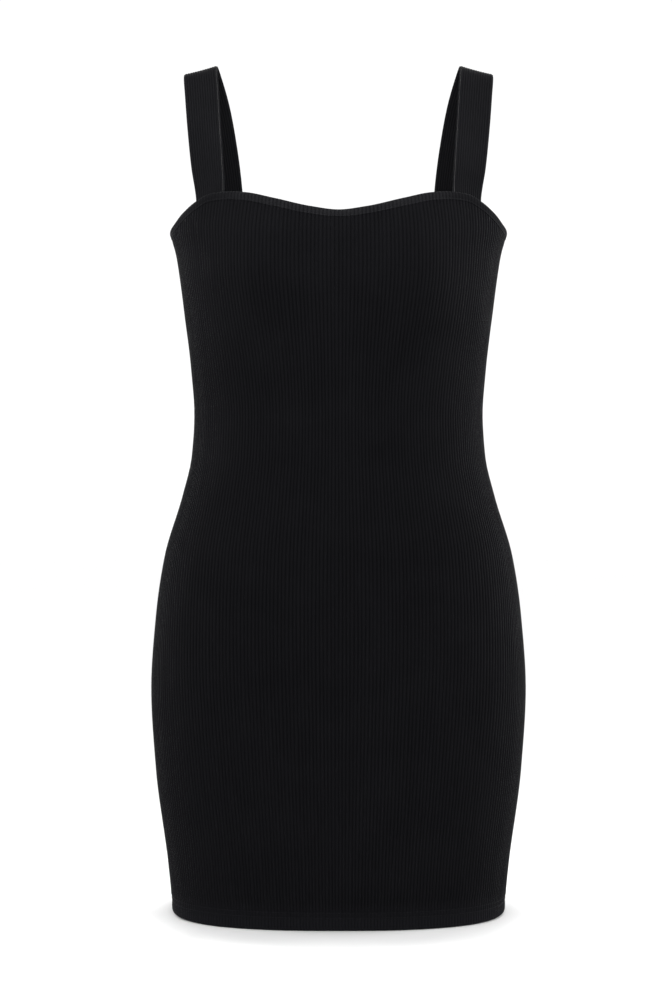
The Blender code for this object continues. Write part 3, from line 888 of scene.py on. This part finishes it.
# The middle of the left strap. turn is how far its outer edge turns to the back, or to the front under 0, and
# slope is how far that edge slants down, in degrees.
Station = namedtuple("Station", "across depth height turn slope")
STRAP_PATH = (
    Station(124.7, -61.5, -98.0, 22, 10),
    Station(128.6, -47.0, -59.5, 14, 10),
    Station(132.0, -29.5, -23.0, 7, 12),
    Station(134.2, -14.0, -2.3, 2, 14),
    Station(134.5, 0.0, 2.8, 0, 15),  # on the shoulder
    Station(132.4, 14.5, -2.3, -3, 14),
    Station(126.2, 31.0, -22.5, -8, 12),
    Station(118.2, 50.0, -64.5, -14, 10),
    Station(112.8, 64.0, -110.0, -20, 8),
)
STRAP_DISH = 0.4  # how far the middle of the strap sinks between its edges on the shoulder, and
STRAP_DISH_LENGTH = 26.0  # how soon it flattens out below
STRAP_ROWS = 100
FOLD_COLUMNS = 6  # of the mesh, round each folded edge
FOLD_FULLNESS = 1.35  # 1 is a half round
STRAP_CORE = 0.3  # the size of the tube's own inside, which never shows
FACE_COLUMNS = STRAP_RIBS * RIB_COLUMNS


def tucked_row(side, places, below_edge, out=-STRAP_INSET):
    """A row of points across the left strap where it lies inside a panel."""
    middle = STRAP_SHARES[side]
    share = middle + places / half_girth(side, edge_height(side, middle))
    return on_figure(side, share, edge_height(side, share) - below_edge, out)


def station_row(station, places):
    """A row of points across the left strap between the panels."""
    turn, slope = math.radians(station.turn), math.radians(station.slope)
    out = np.array([math.cos(turn) * math.cos(slope), math.sin(turn) * math.cos(slope), -math.sin(slope)])
    return np.array([station.across, station.depth, station.height]) + out * places[:, None]


def strap_middle(places):
    """Rows of points along the middle of the left strap, on a smooth curve through its stations."""
    rows = np.array(
        [
            tucked_row(FRONT, places, STRAP_TUCK),
            tucked_row(FRONT, places, 0.0),
            *(station_row(station, places) for station in STRAP_PATH),
            tucked_row(BACK, places, 0.0),
            tucked_row(BACK, places, STRAP_TUCK),
        ]
    )
    steps = np.linalg.norm(np.diff(rows.mean(axis=1), axis=0), axis=1)
    at = np.concatenate([[0], np.cumsum(steps)])
    slopes = np.gradient(rows, at, axis=0)
    wanted = np.linspace(0, at[-1], STRAP_ROWS + 1)
    i = np.clip(np.searchsorted(at, wanted) - 1, 0, len(at) - 2)
    gap = (at[i + 1] - at[i])[:, None, None]
    t = (wanted - at[i])[:, None, None] / gap
    rise = rows[i + 1] - rows[i]
    return rows[i] + smooth_rise(rise, slopes[i] * gap, slopes[i + 1] * gap, t), wanted


def make_strap(name, hand, materials):
    """A strap, from inside the front panel over the shoulder to inside the back one. hand is 1 at +X."""
    half = STRAP_THICKNESS / 2
    reach = STRAP_WIDTH / 2 - half
    places = np.linspace(-reach, reach, FACE_COLUMNS + 1)
    middle, along = strap_middle(places)
    facing = np.cross(np.gradient(middle, axis=1), np.gradient(middle, axis=0))
    facing /= np.linalg.norm(facing, axis=2, keepdims=True)
    top = np.exp(-((middle[:, :, 2:] / STRAP_DISH_LENGTH) ** 2))
    middle = middle - facing * STRAP_DISH * top * (1 - (places[:, None] / reach) ** 2)
    sideways = np.gradient(middle, axis=1)
    sideways /= np.linalg.norm(sideways, axis=2, keepdims=True)
    round_columns = 2 * (FACE_COLUMNS + FOLD_COLUMNS)

    def lay(across, row, is_back):
        # Round the tube: the outer face, a fold, the inner face and the other fold.
        column = across * round_columns
        last_fold = round_columns - FOLD_COLUMNS
        on_outer = column <= FACE_COLUMNS
        on_inner = (column >= FACE_COLUMNS + FOLD_COLUMNS) & (column <= last_fold)
        on_face = on_outer | on_inner
        in_last_fold = column > last_fold
        face_place = np.where(on_outer, column, last_fold - column)
        face_place = np.where(on_face, face_place, np.where(in_last_fold, 0, FACE_COLUMNS))
        rib = face_place / RIB_COLUMNS
        rise = STRAP_RIB_HEIGHT * (1 - rib_dip(rib))
        turned = math.pi * (column - np.where(in_last_fold, last_fold, FACE_COLUMNS)) / FOLD_COLUMNS
        way = np.where(column < FACE_COLUMNS + FOLD_COLUMNS, 1, -1)
        size = way * np.where(is_back, STRAP_CORE, 1.0)
        normal = (size * np.where(on_face, half + rise, half * np.cos(turned)))[:, None]
        beside = (size * np.where(on_face, 0, FOLD_FULLNESS * half * np.sin(turned)))[:, None]
        low = np.minimum(face_place.astype(int), FACE_COLUMNS - 1)
        part = (face_place - low)[:, None]

        def value(net):
            return net[row, low] * (1 - part) + net[row, low + 1] * part

        points = value(middle) + value(facing) * normal + value(sideways) * beside
        rib = np.where(on_face, rib, rib + 0.5)  # a fold runs along a crest
        return points * np.array([hand, 1, 1]), np.column_stack([rib, along[row]])

    bm = cloth_grids(round_columns, 4 * STRAP_RIBS + 4, STRAP_ROWS)
    piece = lay_cloth(name, bm, lay, materials)
    return piece


# The straps are drawn in lighter colours than the panels' cloth, though they are the same rib: painted light,
# for the light they catch over the shoulders.
strap_knit_painted_light = rib_cloth("Black_cotton_rib_strap_painted_light", "#0c0c0e", "#19191b", ribs_in_bump=False)
left_strap = make_strap("left_strap_cloth", 1, [strap_knit_painted_light, rib_knit_inside])
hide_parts("left_strap")
right_strap = make_strap("right_strap_cloth", -1, [strap_knit_painted_light, rib_knit_inside])
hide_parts("right_strap")

STRAP_STITCH_ROWS = (5.5, 9.5)  # below the top edge, on the inside
STRAP_STITCH_SHORT = 1.0  # how far short of its sides they stop
STRAP_WRAP = 2.2  # how far the overlock reaches from the cut end, and
STRAP_WRAP_EDGE = 0.1  # how far past it


def strap_stitches(hand):
    """The rows that hold both ends of a strap, and the overlock on its cut ends."""
    reach = STRAP_WIDTH / 2 - STRAP_STITCH_SHORT
    places = np.linspace(-reach, reach, round(2 * reach / STITCH) + 1)
    mirror = np.array([hand, 1, 1])
    inner_face = -STRAP_INSET - STRAP_THICKNESS / 2 - STRAP_RIB_HEIGHT
    for side in (FRONT, BACK):
        for below_edge in STRAP_STITCH_ROWS:
            row = tucked_row(side, places, below_edge, inner_face) * mirror
            yield from zip(row[:-1], row[1:])
        starts = tucked_row(side, places, STRAP_TUCK - STRAP_WRAP, inner_face) * mirror
        ends = tucked_row(side, places, STRAP_TUCK + STRAP_WRAP_EDGE) * mirror
        yield from zip(starts, ends)


sew("left_strap_stitches", strap_stitches(1))
sew("right_strap_stitches", strap_stitches(-1))

# ------------------------------------------------------------------------------------------------------------
# The studio: a plain white floor just under the hem, a white room, a wide soft light overhead, a small one in
# front, and a tall one at either side, a little behind the dress. Eight more light only the floor.

FLOOR_DROP = 0.3  # how far it lies under the hem
FLOOR_SIZE = 12  # half its width, in metres

white_paper, paper_shader = new_material("White_paper")
paper_shader.inputs["Base Color"].default_value = srgb("#fafafa")  # matt, so that nothing shines in it
paper_shader.inputs["Roughness"].default_value = 1.0
paper_shader.inputs["Specular IOR Level"].default_value = 0.0
floor_form = bmesh.new()
bmesh.ops.create_grid(floor_form, x_segments=1, y_segments=1, size=FLOOR_SIZE)
bmesh.ops.translate(floor_form, verts=floor_form.verts, vec=(0, 0, (HEM - FLOOR_DROP) * MM))
floor = add_piece("floor", floor_form, [white_paper])

world = bpy.data.worlds.new("White_room")
world.use_nodes = True
room_light = world.node_tree.nodes["Background"]
room_light.inputs["Color"].default_value = (1, 1, 1, 1)
room_light.inputs["Strength"].default_value = 1.05
bpy.context.scene.world = world

# Where a softbox stands and what it aims at are in metres. A grid narrows its spread, which is in degrees.
Softbox = namedtuple("Softbox", "name place aim width height watts spread")
SOFTBOXES = (
    Softbox("overhead_softbox", (0.0, -0.16, 1.5), (0.0, -0.16, 0.0), 0.8, 0.3, 2.5, 180),
    Softbox("front_softbox_with_grid", (0.0, -0.8, 0.5), (0.0, -0.1, -0.1), 0.6, 0.4, 0.6, 42),
    Softbox("left_softbox_with_grid", (1.7, 0.5, -0.1), (0.0, 0.0, -0.25), 0.6, 1.0, 3.0, 50),
    Softbox("right_softbox_with_grid", (-1.7, 0.5, -0.1), (0.0, 0.0, -0.25), 0.6, 1.0, 1.7, 50),
)


def soft_light(softbox):
    """A rectangular soft light."""
    lamp = bpy.data.lights.new(softbox.name, "AREA")
    lamp.shape = "RECTANGLE"
    lamp.size = softbox.width
    lamp.size_y = softbox.height
    lamp.energy = softbox.watts
    lamp.spread = math.radians(softbox.spread)
    lit = bpy.data.objects.new(softbox.name, lamp)
    bpy.context.scene.collection.objects.link(lit)
    lit.location = softbox.place
    way = Vector(softbox.aim) - Vector(softbox.place)
    lit.rotation_euler = way.to_track_quat("-Z", "Y").to_euler()


for softbox in SOFTBOXES:
    soft_light(softbox)

# Eight in a ring, with fine grids, light only the floor around the dress, so that its shadow stays close.
RING_INNER = (0.163, 0.145)  # half the width and the depth of the floor inside the ring, in metres
RING_ROUNDNESS = 1.75  # 2 is an ellipse, and less has fuller corners
RING_MIDDLE = -0.02  # how far back its middle lies, or in front under 0
RING_AIM = 0.125  # how far outside it they aim, and
RING_AIM_HEIGHT = -0.82
RING_STAND = 0.38  # how far outside it they stand
RING_STAND_HEIGHT = 0.38
for turn in range(0, 360, 45):
    across, along = math.sin(math.radians(turn)), -math.cos(math.radians(turn))
    shares = (abs(size * part) ** RING_ROUNDNESS for size, part in zip(RING_INNER, (across, along)))
    near = sum(shares) ** (1 / RING_ROUNDNESS)
    lit_to, stand = near + RING_AIM, near + RING_STAND
    aim = (across * lit_to, RING_MIDDLE + along * lit_to, RING_AIM_HEIGHT)
    place = (across * stand, RING_MIDDLE + along * stand, RING_STAND_HEIGHT)
    soft_light(Softbox(f"floor_softbox_{turn}", place, aim, 0.3, 0.25, 0.055, 3.3))

CAMERA_PLACE = (-0.00245, -1.9, -0.421)  # level, straight in front of the dress, in metres
camera_data = bpy.data.cameras.new("camera")
camera_data.lens = 69.24
camera_data.sensor_width = 36.0
camera = bpy.data.objects.new("camera", camera_data)
camera.location = CAMERA_PLACE
camera.rotation_euler = (math.pi / 2, 0, 0)
bpy.context.scene.collection.objects.link(camera)
bpy.context.scene.camera = camera
bpy.context.scene.view_settings.view_transform = "Standard"
